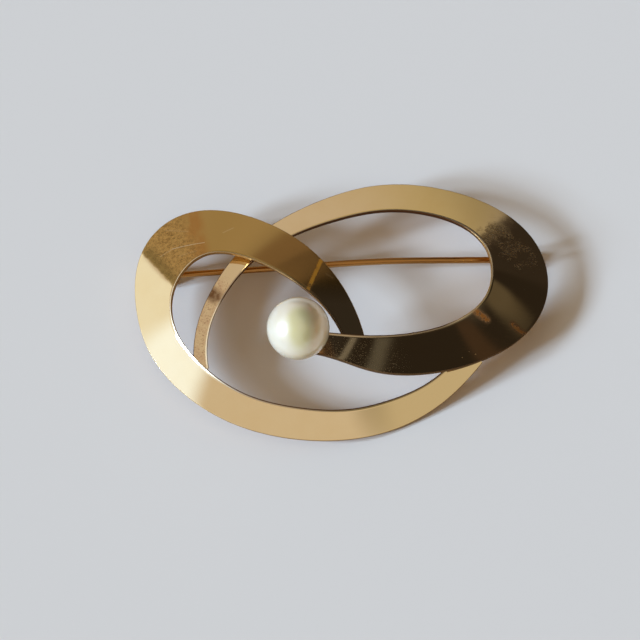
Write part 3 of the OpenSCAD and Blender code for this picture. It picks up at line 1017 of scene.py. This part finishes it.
WIRE_SIZES = {
    "Wire diameter": STEM_D * MM, "Taper length": TAPER * MM, "Tip diameter": TIP_D * MM,
    "Ring spacing": RING_SPACING * MM,
}
wire_tree = new_tree("wire with a filed point", "Path", WIRE_SIZES, "Wire")
given = add(wire_tree, "NodeGroupInput").outputs
even = add(wire_tree, "GeometryNodeResampleCurve",
           {"Curve": given["Path"], "Length": given["Ring spacing"]}, mode="LENGTH")
so_far = add(wire_tree, "GeometryNodeSplineParameter").outputs["Length"]
whole = add(wire_tree, "GeometryNodeSplineLength").outputs["Length"]
to_go = calc(wire_tree, "SUBTRACT", whole, so_far)
wire_r = calc(wire_tree, "MULTIPLY", given["Wire diameter"], 0.5)
tip_r = calc(wire_tree, "MULTIPLY", given["Tip diameter"], 0.5)
cone = add(wire_tree, "ShaderNodeMapRange", {
    "Value": to_go, "From Min": 0.0, "From Max": given["Taper length"], "To Min": tip_r, "To Max": wire_r,
})
nose = calc(wire_tree, "MULTIPLY", to_go, given["Tip diameter"])
nose_r = calc(wire_tree, "SQRT", nose)
size_here = calc(wire_tree, "MINIMUM", cone, nose_r)
ring = add(wire_tree, "GeometryNodeCurvePrimitiveCircle", {"Resolution": 32, "Radius": 1.0})
swept = add(wire_tree, "GeometryNodeCurveToMesh",
            {"Curve": even, "Profile Curve": ring, "Scale": size_here, "Fill Caps": True})
finish_tree(wire_tree, swept, given["Metal"])

stem_curve = bpy.data.curves.new("pin_wire", "CURVE")
stem_curve.dimensions = "3D"
spline = stem_curve.splines.new("POLY")
spline.points.add(len(stem_points) - 1)
for point, (x, z) in zip(spline.points, stem_points):
    point.co = (*mm(HINGE_X + x, PIN_Y, HINGE_Z + z), 1)
carrier = show("pin_wire", stem_curve)
use_tree(carrier, wire_tree, {**WIRE_SIZES, "Metal": shaded_wire_gold})
pin_wire = plain_mesh(carrier, "pin_wire")
eye_profile = rounded_box(RIVET_D / 2 + EYE_SLACK, EYE_D / 2, EYE_WIDTH / 2, EYE_EDGE)
pin_eye = turned("pin_eye", eye_profile, hinge_middle, (0, 1, 0), shaded_wire_gold, closed=True)
print("wire faces:", len(pin_wire.data.polygons), "box:", [round(c / MM, 2) for c in pin_wire.dimensions])

# %% [markdown]
# ## The pearl
#
# A cultured sea pearl. Nacre is hundreds of thin clear layers, so light goes in, spreads, and comes
# back from many depths: the body looks soft and pale. Its colour is painted darker on the left and
# lighter on the right, painted shade and painted light that even out the window's light, and an olive
# patch in front is a painted reflection of the dark doorway. A little of the metal's way of mirroring
# gives it its lustre, and a clear coat gives the highlight that lies on top.

# %% Pearl
PEARL_HOLE_D, HOLE_DEPTH = 0.9, 3.7

nacre = bpy.data.materials.new("nacre")
nacre.use_nodes = True
tree = nacre.node_tree
shader = tree.nodes["Principled BSDF"]
place = add(tree, "ShaderNodeTexCoord").outputs["Object"]
# painted reflection of the dark doorway: an olive patch on the front
olive_reflection_x = PEARL_X + 0.2
olive_reflection_painted = near_line(tree, place, (olive_reflection_x, PEARL_Y - 0.6), (olive_reflection_x, PEARL_Y - 2.2), 0.7, 1.3)
# painted shade on the left and painted light on the right: the body goes from darker to lighter
spot = add(tree, "ShaderNodeSeparateXYZ", {0: place})
painted_light_to_right = add(tree, "ShaderNodeMapRange", {
    "Value": spot.outputs["X"], "From Min": (PEARL_X - 3) * MM, "From Max": (PEARL_X + 3) * MM,
})
body = add(tree, "ShaderNodeMix", {"Factor": painted_light_to_right, 6: linear("#c8baa2"), 7: linear("#f0dfc0")},
           data_type="RGBA")
body = add(tree, "ShaderNodeMix", {"Factor": olive_reflection_painted, 6: body.outputs[2], 7: linear("#cabd8c")},
           data_type="RGBA").outputs[2]
tree.links.new(body, shader.inputs["Base Color"])
for socket, value in (
    ("Metallic", 0.2), ("Roughness", 0.27), ("IOR", 1.66),
    ("Subsurface Weight", 0.75), ("Subsurface Radius", (1.0, 0.9, 0.75)), ("Subsurface Scale", 1.8 * MM),
    ("Coat Weight", 0.85), ("Coat Roughness", 0.1), ("Coat IOR", 1.53),
):
    shader.inputs[socket].default_value = value

radius = PEARL_D / 2
first = math.degrees(math.asin(PEARL_HOLE_D / 2 / radius))
ball = [(radius * math.sin(math.radians(t)), -radius * math.cos(math.radians(t)))
        for t in [first + (180 - first) * k / 72 for k in range(73)]]
hole_top = -radius + HOLE_DEPTH
profile = [(0, hole_top), (PEARL_HOLE_D / 2, hole_top)] + ball
pearl = turned("pearl_nacre", profile, mm(PEARL_X, PEARL_Y, PEARL_Z), (0, 0, 1), nacre, steps=128)
brooch_pieces.append(pearl)
print("pearl is", PEARL_D, "mm across, its hole", HOLE_DEPTH, "mm deep")

# %% [markdown]
# ## Who rides on what
#
# Everything soldered, riveted or glued moves with the brooch. Only the pin turns.

# %% Bodies and finishes
for piece in brooch_pieces:
    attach(piece, "brooch")
    if piece is pearl:
        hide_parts("pearl")
    elif piece is rivet:
        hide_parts("hinge_rivet")
    else:
        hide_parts("ribbon_frame")
for piece in (pin_wire, pin_eye):
    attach(piece, "pin")
    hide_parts("pin_stem")
print("riding on the brooch:", [piece.name for piece in brooch_pieces])
